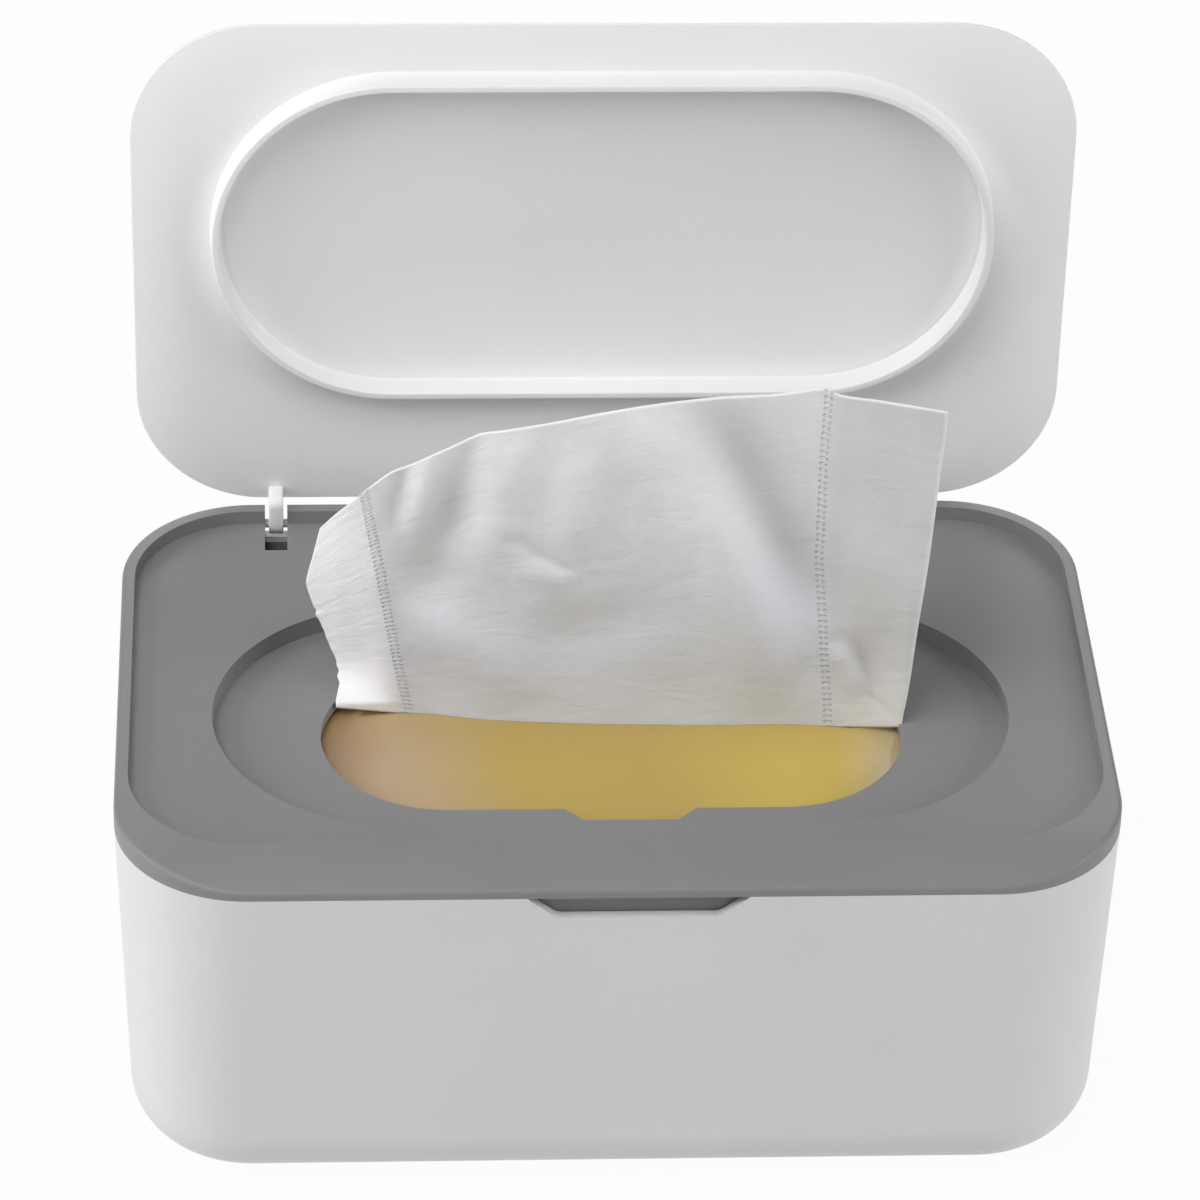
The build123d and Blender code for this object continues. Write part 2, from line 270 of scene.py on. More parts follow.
def moulded_plastic(name, colour, roughness, grain, grain_depth, mottle=0.03):
    """Moulded plastic: a faint cloudiness in colour and gloss, and a fine spark-eroded grain."""
    n = Nodes(name)
    cloud = n.noise(28, 4, 0.55)
    fine = n.noise(1 / (grain * 2.2), 2, 0.5)
    colour_mix = n.mix(n.spread(cloud, 0.0, 1.0), tint(colour, 1 - mottle), tint(colour, 1 + mottle))
    colour_mix = n.mix(n.spread(fine, 0.0, 1.0, 0.25, 0.75), colour_mix, tint(colour, 1.0))
    gloss = n.math("ADD", n.spread(cloud, roughness - 0.04, roughness + 0.04), n.spread(fine, -0.03, 0.03))
    sag = n.bump(n.noise(60, 2), 0.00003)
    skin = n.bump(n.noise(1 / grain, 3, 0.6), grain_depth, before=sag)
    return n.feed(Base_Color=colour_mix, Roughness=gloss, Normal=skin)


# What a user would change


class WIPES_PG_sizes(bpy.types.PropertyGroup):
    lid_width: FloatProperty(
        name="Lid width", description="Width of the lid",
        default=0.1844, unit="LENGTH", subtype="DISTANCE",
    )
    lid_length: FloatProperty(
        name="Lid length", description="Hinge edge to free edge",
        default=0.1086, unit="LENGTH", subtype="DISTANCE",
    )
    lid_corner: FloatProperty(
        name="Lid corner", description="Corner radius of the lid",
        default=0.0253, unit="LENGTH", subtype="DISTANCE",
    )
    lid_dome: FloatProperty(
        name="Dome", description="How far the lid's top bulges",
        default=0.0029, unit="LENGTH", subtype="DISTANCE",
    )
    lid_dish: FloatProperty(
        name="Dish", description="How deep the lid is dished inside the seal", default=0.003,
        unit="LENGTH", subtype="DISTANCE",
    )
    ring_width: FloatProperty(
        name="Seal width", description="Outer width of the seal ring",
        default=0.1532, unit="LENGTH", subtype="DISTANCE",
    )
    ring_length: FloatProperty(
        name="Seal length", description="Outer length of the seal ring",
        default=0.0713, unit="LENGTH", subtype="DISTANCE",
    )
    ring_height: FloatProperty(
        name="Seal height", description="Height of the seal's lip",
        default=0.0052, unit="LENGTH", subtype="DISTANCE",
    )
    ring_lip: FloatProperty(
        name="Seal lip", description="Thickness of the seal's lip",
        default=0.0015, unit="LENGTH", subtype="DISTANCE",
    )
    fold_depth: FloatProperty(
        name="Fold depth", description="How strongly the wipe is creased",
        default=1.0, min=0.0, max=2.0, subtype="FACTOR",
    )
    arc_points: IntProperty(
        name="Arc points", description="Points round each corner", default=30, min=8, max=60,
    )


class WIPES_PG_colours(bpy.types.PropertyGroup):
    shell: FloatVectorProperty(
        name="Base box", description="Colour of the base box",
        size=3, default=(0.735, 0.735, 0.738), subtype="COLOR",
    )
    lid: FloatVectorProperty(
        name="Lid", description="Colour of the lid",
        size=3, default=(0.865, 0.865, 0.865), subtype="COLOR",
    )
    cover: FloatVectorProperty(
        name="Middle cover", description="Colour of the middle cover",
        size=3, default=(0.235, 0.235, 0.238), subtype="COLOR",
    )
    seal: FloatVectorProperty(
        name="Seal ring", description="Colour of the seal ring",
        size=3, default=(0.84, 0.84, 0.835), subtype="COLOR",
    )
    wipe: FloatVectorProperty(
        name="Wipe", description="Colour of the wipes",
        size=3, default=(0.80, 0.80, 0.81), subtype="COLOR",
    )
    # Dark brown at the very left: painted shadow on the film under the wipe's left flap
    film_end_painted_shadow: FloatVectorProperty(
        name="Film, left end", description="Film colour at its very left",
        size=3, default=(0.27, 0.125, 0.07), subtype="COLOR",
    )
    film_left: FloatVectorProperty(
        name="Film, left", description="Film colour at the left",
        size=3, default=(0.50, 0.365, 0.225), subtype="COLOR",
    )
    film_middle: FloatVectorProperty(
        name="Film, middle", description="Film colour in the middle",
        size=3, default=(0.485, 0.345, 0.085), subtype="COLOR",
    )
    film_bright: FloatVectorProperty(
        name="Film, right", description="Film colour at the right",
        size=3, default=(0.585, 0.43, 0.095), subtype="COLOR",
    )
    # Paler at the very right: a painted highlight on the film
    film_right_painted_highlight: FloatVectorProperty(
        name="Film, right end", description="Film colour at its very right",
        size=3, default=(0.60, 0.49, 0.29), subtype="COLOR",
    )
    feet: FloatVectorProperty(
        name="Feet", description="Colour of the feet",
        size=3, default=(0.20, 0.20, 0.20), subtype="COLOR",
    )


# The lid stands open at rest: x runs across, v up from its hinge edge, and w out of its underside.
# Millimetres: the seal's middle in the row frame, the lid from underside to dome, and its hinge arms
SEAL_CENTRE = 138.85
LID_THICKNESS = 4.7
ARM_X = 64.6
PIN_V, PIN_W = -3.9, 2.4


def hinge_edge():
    """The lid's underside plane and hinge edge in millimetres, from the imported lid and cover."""
    lid_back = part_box("lid")[1][1]
    cover_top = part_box("middle_cover")[1][2]
    return lid_back / MM - LID_THICKNESS, cover_top / MM


def standing(x, v, w):
    """Lid coordinates to the row frame: y is the underside plane less w, z is the hinge edge plus v."""
    plane, edge = hinge_edge()
    return np.stack([x, plane - w, edge + v], axis=-1)


def lid_shell(sizes):
    """The lid as rounded loops, from the middle of the dish out to the rim and back over the domed top.
    Dish: depth times 1 - (1 - inset/reach)^2. Underside: rolls back by (1 - distance/11 mm)^2 near the rim.
    Top: bulges by the dome times 1 - (1 - inset/36 mm)^2."""
    hx, hy, r = sizes.lid_width / 2 / MM, sizes.lid_length / 2 / MM, sizes.lid_corner / MM
    rx, ry = sizes.ring_width / 2 / MM, sizes.ring_length / 2 / MM
    dish, dome = sizes.lid_dish / MM, sizes.lid_dome / MM
    rim, roll_reach, dome_reach, land_width = 1.8, 11, 36, 2.95
    ring_v = SEAL_CENTRE - hinge_edge()[1]
    signs = loop_signs(sizes.arc_points, 60, 14)
    # Dish, from its middle line to its rim
    rim_x, rim_y = rx - land_width, ry - land_width
    inset = rim_y * (1 - np.linspace(0, 1, 22) ** 1.3)
    dx, dv = loops(rim_x - inset, rim_y - inset, rim_y - inset, signs)
    reach = rim_y * 0.9
    sink = dish * (1 - (1 - np.clip(inset / reach, 0, 1)) ** 2)
    blend = 0.12 * np.exp(-((inset / 0.6) ** 2))
    dw = np.repeat((-sink - blend)[:, None], dx.shape[1], axis=1)
    # Land between the dish and the seal
    land = np.array([0.25, 0.6, 1.2, 2.0])
    lx, lv = loops(rim_x + land, rim_y + land, rim_y + land, signs)
    lw = np.repeat(np.array([-0.03, 0, 0, 0.0])[:, None], lx.shape[1], axis=1)
    # Underside round the seal, out to the rim
    t = np.linspace(0, 1, 46)
    t = t * (2 - t)
    ux, uy = loops(rx + (hx - 0.2 - rx) * t, ry + (hy - 0.2 - ry) * t, ry + (r - ry) * t, signs)
    mid = ring_v + (hy - ring_v) * t
    under_v = uy + mid[:, None]
    distance = edge_distance(ux, under_v - hy, hx, hy, r)
    uw = -1.0 * (1 - np.clip(distance / roll_reach, 0, 1)) ** 2
    # Rim, with its two edges rounded
    edge = np.array(
        [[0.11, -1.0], [0.04, -1.08], [0, -1.2], [0, -1.4], [0, -1.6], [0.05, -1.73], [0.15, -1.81]]
    )
    ex, ev = loops(hx - edge[:, 0], hy - edge[:, 0], r - edge[:, 0], signs)
    ew = np.repeat(edge[:, 1:], ex.shape[1], axis=1)
    # Domed top
    back = np.concatenate([np.linspace(0.4, dome_reach, 26), np.linspace(dome_reach + 2, hy, 8)])
    tx, tv = loops(hx - back, hy - back, np.minimum(r - 0.2 * back, hy - back), signs)
    bulge = -rim - dome * (1 - (1 - np.clip(back / dome_reach, 0, 1)) ** 2)
    tw = np.repeat(bulge[:, None], tx.shape[1], axis=1)
    x = np.concatenate([dx, lx, ux, ex, tx])
    v = np.concatenate([dv + ring_v, lv + ring_v, under_v, ev + hy, tv + hy])
    w = np.concatenate([dw, lw, uw, ew, tw])
    return weld(write_mesh("lid_shell_form", standing(x, v, w)))


def hinge_arm(x, number):
    """A flat arm with round ends, swept across its width, with a round trunnion each side.
    Each is a loop whose size follows a rounded profile across the width."""
    signs = loop_signs(10, 10, 2)
    half_profile = np.array([[5.7, -1.45], [0.4, -1.45], [0.12, -1.38], [0, -1.1]])
    profile = np.concatenate([half_profile, half_profile[::-1] * [1, -1]])
    shells = []
    for half_v, half_w, radius, v0, w0 in ((4.4, 2.1, 2.1, -1.6, 2.4), (1.5, 2.2, 1.2, 1.5, 0.4)):
        shrink = np.minimum(profile[:, 0], half_w)
        length = np.where(profile[:, 0] > half_w, half_v - half_w, half_v - shrink)
        av, aw = loops(length, half_w - shrink, np.maximum(np.minimum(radius, half_w) - shrink, 0), signs)
        across = np.repeat(x + profile[:, 1:], av.shape[1], axis=1)
        shells.append(weld(write_mesh(f"arm_{number}_{half_w}", standing(across, av + v0, aw + w0))))
    turn = np.linspace(0, 2 * math.pi, 33)[:-1]
    pin = np.array([[0, -4.85], [0.75, -4.85], [0.9, -4.7], [0.9, 4.7], [0.75, 4.85], [0, 4.85]])
    reach = np.repeat(x + pin[:, 1:], 32, axis=1)
    pv = PIN_V + pin[:, :1] * np.cos(turn)
    pw = PIN_W + pin[:, :1] * np.sin(turn)
    shells.append(weld(write_mesh(f"pin_{number}", standing(reach, pv, pw))))
    return shells


def seal_profile(sizes):
    """The seal's section, as inset from the lip's outer face and height above the lid: a root below the
    surface, a small fillet each side, and a lip with a flat crest between two rounded edges."""
    lip, high = sizes.ring_lip / MM, sizes.ring_height / MM
    turn = np.linspace(0, math.pi / 2, 6)
    soft = 0.32
    edge = np.stack([soft - soft * np.cos(turn), high - soft + soft * np.sin(turn)], axis=1)
    root = [[-0.42, -0.9], [-0.42, 0.0], [-0.33, 0.06], [-0.2, 0.2], [-0.09, 0.45]]
    wall = [[-0.02, 0.8], [0, 1.2], [0, 2.8], [0, 4.6]]
    outer = np.concatenate([np.array(root + wall), edge, [[lip / 2, high]]])
    inner = outer[:-1][::-1] * [-1, 1] + [lip, 0]
    return np.concatenate([outer, inner])


def seal_form(sizes):
    """The seal's section carried round a loop with straight long sides and round ends."""
    rx, ry = sizes.ring_width / 2 / MM, sizes.ring_length / 2 / MM
    signs = loop_signs(sizes.arc_points + 10, 80, 0)
    section = seal_profile(sizes)
    x, v = loops(rx - section[:, 0], ry - section[:, 0], ry - section[:, 0], signs)
    v = v + SEAL_CENTRE - hinge_edge()[1]
    w = np.repeat(section[:, 1:], x.shape[1], axis=1)
    # Three small nicks in the crest
    for nick_x, nick_z in ((-66.0, 156.2), (76.4, 145.4), (76.4, 123.6)):
        near = np.exp(-((x - nick_x) ** 2 + (v + hinge_edge()[1] - nick_z) ** 2) / 0.9)
        w = w - 0.35 * near * (w > 4.2)
    return weld(write_mesh("seal_ring_lip", standing(x, v, w), wrap_rows=True))


# Refill pack, in millimetres: the room kept for the folded end fin, and how far the slit stands left of
# the pack's middle and behind the wipe's foot
FIN_ROOM = 1.2
SLIT_SHIFT = 0.5


def film_pillow():
    """A pillow of film: rounded loops from the middle of its underside, round its side and over its top to
    the slit that the wipe comes out of, where the film dips inside. The slit follows the wipe's foot, and
    soft pleats run in from the ends. Its edges are quarter circles, so that it stays outside the stack."""
    low, high = (np.array(c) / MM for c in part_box("refill_wrapper"))
    hx, hy = high[0] - FIN_ROOM, high[1]
    floor, top = low[2], high[2]
    signs = loop_signs(22, 70, 30)
    # Underside, lower edge, side with a faint waist, upper edge
    edge = 9.0
    under = edge + (hy - edge) * np.linspace(1, 0, 10)[:-1] ** 1.25
    turn = np.linspace(0, math.pi / 2, 10)
    rise = np.linspace(0, 1, 12)[1:-1]
    inset = np.concatenate(
        [under, edge * (1 - np.sin(turn)), 0.1 * np.sin(math.pi * rise), edge * (1 - np.cos(turn))]
    )
    level = np.concatenate(
        [
            np.full(9, floor),
            floor + edge * (1 - np.cos(turn)),
            floor + edge + (top - floor - 2 * edge) * rise,
            top - edge * (1 - np.sin(turn)),
        ]
    )
    half = (top - floor) / 2
    corner = np.minimum(np.maximum(edge - inset, 0) + 0.5 * inset, hy - inset)
    x, y = loops(hx - inset, hy - inset, corner, signs)
    z = np.repeat(level[:, None], x.shape[1], axis=1)
    # The top, drawn in to the slit
    t = np.linspace(0, 1, 60)[1:] ** 0.75
    slit_x, slit_y = 48.0, 0.75
    ox, oy = loops(
        hx - edge + (slit_x - hx + edge) * t,
        hy - edge + (slit_y - hy + edge) * t,
        edge / 2 + (slit_y - edge / 2) * t,
        signs,
    )
    ox = ox - SLIT_SHIFT * t[:, None]
    oy = oy + t[:, None] ** 2 * (foot_depth(ox) + SLIT_SHIFT)
    dip = top - 0.08 * np.exp(-((1 - t) / 0.012)) - 0.15 * (1 - np.cos(2 * math.pi * t)) / 2
    oz = np.repeat(dip[:, None], ox.shape[1], axis=1)
    # Inside lip, closed on a line
    lip = np.array([[0.2, -0.4], [0.45, -0.8], [slit_y, -0.95]])
    ix, iy = loops(slit_x - lip[:, 0], slit_y - lip[:, 0], slit_y - lip[:, 0], signs)
    ix = ix - SLIT_SHIFT
    iy = iy + foot_depth(ix) + SLIT_SHIFT
    iz = np.repeat(top + lip[:, 1:], ix.shape[1], axis=1)
    x, y, z = np.concatenate([x, ox, ix]), np.concatenate([y, oy, iy]), np.concatenate([z, oz, iz])
    upper = np.clip((z - floor - half) / half, 0, 1) ** 4
    pleat = np.exp(-((hx - np.abs(x)) / 16) ** 2) * (np.sin(y * 0.9 + 0.6 * np.sin(y * 0.31)) - 1) * 0.3
    soft = 0.12 * np.sin(x * 0.11 + 0.7) * np.sin(y * 0.17 + x * 0.05) - 0.12
    clear = np.clip((np.abs(y - foot_depth(x)) - 1.5) / 6, 0, 1)
    z = z + upper * (pleat + soft * clear)
    return weld(write_mesh("film_form", np.stack([x, y, z], axis=-1)))


def crimped_fin(side):
    """The pack's crimped end, folded down flat: a thin slab with fine ribs, 0.88 mm thick plus 0.12 times the
    cosine of its height over each 1.1 mm rib and 0.1 times a slow sine along its width. Each end closes on
    the slab's middle plane."""
    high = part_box("refill_wrapper")[1][0] / MM
    y, z = np.meshgrid(np.linspace(-38.6, 38.6, 90), np.linspace(22.6, 34.4, 70))
    rib = 0.33 + 0.12 * np.cos(z * 2 * math.pi / 1.1) + 0.1 * np.sin(y * 0.21)
    outer = np.stack([side * (high - 0.75 + rib), y, z], axis=-1)
    inner = np.stack([np.full_like(y, side * (high - 1.3)), y, z], axis=-1)
    ring = np.concatenate([outer, inner[::-1]])
    middle = (ring + ring[::-1]) / 2
    ring = np.concatenate([middle[:, :1], ring, middle[:, -1:]], axis=1)
    return weld(write_mesh("fin_form", ring, wrap_rows=True, wrap_columns=False))


# Wipe


LEFT_EDGE = [
    (-53.2, 71.2), (-52.9, 76.0), (-53.3, 80.3), (-54.1, 83.4), (-55.1, 85.1), (-55.7, 88.1),
    (-56.8, 90.5), (-57.5, 92.8), (-59.4, 99.8), (-58.0, 106.0), (-56.5, 112.4),
]
TOP_EDGE = [
    (-56.5, 112.4), (-53.1, 115.8), (-49.9, 118.5), (-46.1, 122.1), (-42.3, 125.2), (-38.9, 126.7),
    (-36.1, 128.1), (-31.4, 130.5), (-25.5, 133.6), (-22.1, 134.0), (-14.6, 135.3), (-3.4, 137.7),
    (7.8, 139.8), (20.0, 141.3), (30.3, 141.9), (34.0, 142.5), (39.6, 142.8), (40.8, 142.0),
    (49.2, 140.2), (62.0, 137.5),
]
RIGHT_EDGE = [
    (56.8, 65.7), (57.7, 73.4), (59.0, 89.9), (60.2, 103.9), (61.0, 117.6), (61.6, 127.8),
    (62.0, 133.0), (62.0, 137.5),
]
FOOT_EDGE = [(-53.2, 71.2), (-38.7, 69.5), (-25.1, 67.7), (-9.5, 66.6), (17.7, 65.9), (56.8, 65.7)]
FOOT_PLACE = [
    (-53.2, 2.4), (-46.0, 3.9), (-38.7, 4.4), (-25.1, 2.1), (-9.5, 0.6), (17.7, -0.5), (40.0, -0.9),
    (50.0, -2.6), (56.8, -5.2),
]
LEFT_SEAM = [(-39.1, 69.1), (-41.5, 82.6), (-43.6, 95.5), (-45.5, 107.0), (-47.8, 120.3)]
RIGHT_SEAM = [(42.7, 66.3), (40.9, 85.4), (39.5, 104.0), (39.3, 124.6), (39.7, 142.1)]
# Creases: from, to, width and depth, where a positive one goes away from the front
CREASES = [
    ((-26.5, 136.0), (-31.0, 112.0), 3.2, 1.0),
    ((-29.5, 118.0), (-36.0, 97.0), 6.0, 1.4),
    ((-39.5, 128.0), (-43.0, 112.0), 2.2, 0.8),
    ((-34.5, 131.0), (-38.5, 109.0), 3.0, -1.1),
    ((-18.0, 133.0), (-23.5, 106.0), 5.0, -1.3),
    ((-21.0, 109.5), (-13.1, 105.5), 1.6, 0.3),
    ((-14.0, 105.5), (-8.2, 101.8), 1.1, 0.32),
    ((-17.0, 102.0), (-9.0, 99.0), 2.2, -0.45),
    ((2.0, 140.0), (24.0, 102.0), 7.5, -2.3),
    ((18.0, 112.0), (37.5, 68.0), 6.5, -1.5),
    ((19.0, 136.0), (38.0, 96.0), 6.5, 2.6),
    ((33.0, 66.0), (38.0, 80.0), 2.6, 0.6),
    ((43.6, 83.0), (47.5, 73.5), 2.2, -1.2),
    ((47.5, 84.0), (52.5, 71.0), 1.8, 0.8),
    ((50.5, 72.5), (56.6, 66.0), 0.8, 0.9),
    ((-46.5, 116.0), (-44.5, 98.0), 2.2, -0.6),
    ((20.0, 100.0), (31.0, 68.0), 8.0, -1.3),
    ((-14.0, 87.0), (8.0, 92.0), 7.0, 1.0),
    ((-36.0, 90.0), (-18.0, 71.0), 7.0, -1.4),
    ((-5.0, 130.0), (-9.0, 106.0), 5.5, -1.0),
    ((46.0, 138.0), (50.0, 96.0), 5.0, -0.9),
    ((55.0, 132.0), (56.0, 92.0), 4.0, 0.8),
]
# How the camera of the reference view looks along y: x and z change a little with depth
LOOK = (0.06, -0.69)
# The visible cloth in millimetres: width and height of its own grid, the height its torn fringe ends at, and
# the lowest that its foot may reach
WIPE_WIDTH, WIPE_HEIGHT = 118, 72
FRINGE_TOP = 94
FOOT_LOWEST = 65.35


def foot_depth(x):
    """How far back the wipe's foot stands at each x: a smooth line through the foot's places."""
    return np.interp(x, *path_through(FOOT_PLACE, 120).T)


def wipe_sheet(sizes, columns=200, rows=130):
    """A sheet between four free edges: left and right edges blended across, plus foot and top blended up,
    less the four corners blended both ways. Its depth is the foot's line fading upwards, a flap turned back
    outside the left seam, creases as bell-shaped ridges along lines, and a faint waviness."""
    u = np.linspace(0, 1, columns)[None, :, None]
    v = np.linspace(0, 1, rows)[:, None, None]
    left, right = path_through(LEFT_EDGE, rows, 0.6)[:, None], path_through(RIGHT_EDGE, rows)[:, None]
    foot, top = path_through(FOOT_EDGE, columns)[None], path_through(TOP_EDGE, columns, 0.7)[None]
    flat = (1 - u) * left + u * right + (1 - v) * foot + v * top
    flat = flat - ((1 - u) * (1 - v) * foot[:, :1] + u * (1 - v) * foot[:, -1:])
    flat = flat - ((1 - u) * v * top[:, :1] + u * v * top[:, -1:])
    x, z = flat[..., 0], flat[..., 1]
    share = np.repeat(v[..., 0], columns, axis=1)
    to_left = x - np.interp(z, *np.array(LEFT_SEAM)[:, ::-1].T)
    to_right = x - np.interp(z, *np.array(RIGHT_SEAM)[:, ::-1].T)
    y = foot_depth(x) * (1 - 0.3 * share) + 2.5 * share**2
    turn = np.clip((z - LEFT_EDGE[0][1]) / 12, 0, 1)
    y = y + 0.8 * (np.hypot(np.maximum(-to_left, 0), 1) - 1) * turn * (2 - turn)
    creases = sum(depth * crease(x, z, a, b, width) for a, b, width, depth in CREASES)
    creases = creases + 1.5 * np.exp(-(((x - 52) / 9) ** 2) - ((z - 80) / 10) ** 2)
    waves = 0.22 * np.sin(0.23 * x + 0.11 * z) * np.sin(0.17 * z - 0.05 * x)
    waves = waves + 0.03 * np.sin(0.9 * x + 0.4 * np.sin(0.5 * z))
    rise = np.clip(share * 3.2, 0, 1)
    y = y + sizes.fold_depth * (creases + waves) * rise * (2 - rise)
    fringe = 0.09 * (1.6 + np.sin(z * 0.83)) * np.sin(z * 1.7 + 1.4 * np.sin(z * 0.47))
    fringe = fringe * np.exp(-((u[..., 0] / 0.012) ** 2)) * (z < FRINGE_TOP)
    x = x + fringe + LOOK[0] * y
    z = z + LOOK[1] * y
    rim = np.minimum(np.minimum(u[..., 0], 1 - u[..., 0]) * WIPE_WIDTH, (1 - share) * WIPE_HEIGHT)
    seam = np.minimum(np.abs(to_left), np.abs(to_right))
    warm = np.clip(1 - share * 1.5, 0, 1) * np.clip(np.minimum(to_left, -to_right) / 6 + 1, 0, 1)
    # Painted light: lighter on the left flap, and painted shade right of the right seam towards the top
    flap = np.clip(-to_left / 5, 0, 1) - np.clip(to_right / 6 + 0.4, 0, 1) * share
    # The foot goes on down into the slit and ends inside the film's lip
    sink = np.array([1.0, 0.55])[:, None]
    x, y, z = (np.concatenate([np.repeat(a[:1], 2, axis=0), a]) for a in (x, y, z))
    z[:2] = np.maximum(z[:2] - sink, FOOT_LOWEST)
    # The creases' depth goes with the sheet, for painted shade in valleys and a painted highlight on ridges
    facts = {"rim": rim * MM, "seam": seam * MM, "fold_painted_light": creases * MM, "warm": warm, "flap": flap}
    facts = {fact: np.concatenate([np.repeat(a[:1], 2, axis=0), a]) for fact, a in facts.items()}
    across = np.repeat(np.linspace(0, WIPE_WIDTH, columns)[None], rows + 2, axis=0)
    up = np.concatenate([[[-1.0], [-0.5]], np.linspace(0, WIPE_HEIGHT, rows)[:, None]])
    cloth = np.stack([across, np.repeat(up, columns, axis=1)], axis=-1)
    sheet = np.stack([x, y, z], axis=-1)
    piece = write_mesh("pulled_wipe_cloth", sheet, wrap_columns=False, uv=cloth, facts=facts)
    solid = piece.modifiers.new("thickness", "SOLIDIFY")
    solid.thickness = 0.00035
    solid.offset = 0
    return piece


# Operators


class WIPES_OT_shell(bpy.types.Operator):
    """Finishes the base box: white moulded plastic with a fine grain"""

    bl_idname = "wipes_case.finish_shell"
    bl_label = "Base box"

    def execute(self, context):
        colour = context.scene.wipes_colours.shell
        finish = moulded_plastic("base_box_plastic", colour, 0.42, 0.00035, 0.000012)
        dress("base_box", finish)
        return {"FINISHED"}


class WIPES_OT_feet(bpy.types.Operator):
    """Finishes the four non-slip feet: dark matt rubber"""

    bl_idname = "wipes_case.finish_feet"
    bl_label = "Feet"

    def execute(self, context):
        finish = moulded_plastic("foot_rubber", context.scene.wipes_colours.feet, 0.8, 0.0004, 0.00002, 0.08)
        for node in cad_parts:
            if node.startswith("foot_"):
                dress(node, finish)
        return {"FINISHED"}


class WIPES_OT_cover(bpy.types.Operator):
    """Finishes the middle cover: dark grey plastic with a spark-eroded grain"""

    bl_idname = "wipes_case.finish_cover"
    bl_label = "Middle cover"

    def execute(self, context):
        colour = context.scene.wipes_colours.cover
        finish = moulded_plastic("middle_cover_plastic", colour, 0.5, 0.0003, 0.000022, 0.04)
        dress("middle_cover", finish)
        return {"FINISHED"}


class WIPES_OT_lid(bpy.types.Operator):
    """Adds the lid: a thin domed shell, dished inside the seal, with two hinge arms and their trunnions"""

    bl_idname = "wipes_case.add_lid"
    bl_label = "Lid"

    def execute(self, context):
        sizes = context.scene.wipes_sizes
        shells = [lid_shell(sizes)] + hinge_arm(-ARM_X, 1) + hinge_arm(ARM_X, 2)
        lid = join_shells("lid_shell", shells)
        finish = moulded_plastic("lid_plastic", context.scene.wipes_colours.lid, 0.38, 0.0004, 0.000008, 0.02)
        carry(lid, finish, "lid", "white_lid", "lid")
        return {"FINISHED"}


class WIPES_OT_seal(bpy.types.Operator):
    """Adds the soft seal ring in the lid's underside"""

    bl_idname = "wipes_case.add_seal"
    bl_label = "Seal ring"

    def execute(self, context):
        colour = context.scene.wipes_colours.seal
        finish = moulded_plastic("seal_elastomer", colour, 0.5, 0.0005, 0.00001, 0.03)
        carry(seal_form(context.scene.wipes_sizes), finish, "lid", "seal", "seal_ring")
        return {"FINISHED"}


class WIPES_OT_pack(bpy.types.Operator):
    """Adds the refill pack's film, tinted from peach through yellow, and finishes the stack inside it"""

    bl_idname = "wipes_case.add_pack"
    bl_label = "Refill pack"

    def execute(self, context):
        pack = join_shells("refill_film", [film_pillow(), crimped_fin(-1), crimped_fin(1)])
        carry(pack, film_finish(context.scene.wipes_colours), "base", "pack_film", "refill_wrapper")
        dress("wipe_stack", cloth_finish("stacked_wipes", context.scene.wipes_colours.wipe, False))
        return {"FINISHED"}


class WIPES_OT_wipe(bpy.types.Operator):
    """Adds the wipe pulled up through the slot, with its creases, torn edges and embossed seams"""

    bl_idname = "wipes_case.add_wipe"
    bl_label = "Pulled wipe"

    def execute(self, context):
        piece = wipe_sheet(context.scene.wipes_sizes)
        bpy.context.view_layer.objects.active = piece
        piece.select_set(True)
        bpy.ops.object.modifier_apply(modifier="thickness")
        finish = cloth_finish("pulled_wipe_cloth", context.scene.wipes_colours.wipe, True)
        carry(piece, finish, "cover", "wipe_cloth", "pulled_wipe")
        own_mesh(piece)
        return {"FINISHED"}


class WIPES_OT_stage(bpy.types.Operator):
    """Adds the floor, the soft lamps, the world and the camera"""

    bl_idname = "wipes_case.add_stage"
    bl_label = "Stage"

    def execute(self, context):
        floor = bpy.data.objects.new("floor", bpy.data.meshes.new("floor"))
        corners = [(-6, -6, 0), (6, -6, 0), (6, 6, 0), (-6, 6, 0)]
        floor.data.from_pydata(corners, [], [(0, 1, 2, 3)])
        context.scene.collection.objects.link(floor)
        floor.data.materials.append(floor_finish())
        set_world(context.scene)
        lamp("lamp_key", (-0.30, -0.40, 0.85), (0, 0, 0.08), 0.5, 3.75)
        lamp("lamp_above", (0.0, -0.05, 1.1), (0, 0, 0.05), 0.9, 1.0)
        lamp("lamp_left", (-0.95, -0.15, 0.45), (0, 0, 0.08), 0.6, 5.5)
        lamp("lamp_right", (0.95, -0.36, 0.46), (0, 0, 0.08), 0.6, 5.0)
        lamp("lamp_back", (0.10, 1.15, 0.36), (0, 0, 0.08), 0.8, 6.0)
        set_camera(context.scene)
        return {"FINISHED"}


def dress(node, finish):
    """Gives a CAD node its finish, in every one of its material slots."""
    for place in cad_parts[node].material_slots:
        place.material = finish


def carry(piece, finish, body, slot, *nodes):
    """Finishes a piece, lets it ride on its body and stand for its CAD nodes."""
    piece.data.materials.clear()
    piece.data.materials.append(finish)
    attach(piece, body)
    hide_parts(*nodes)


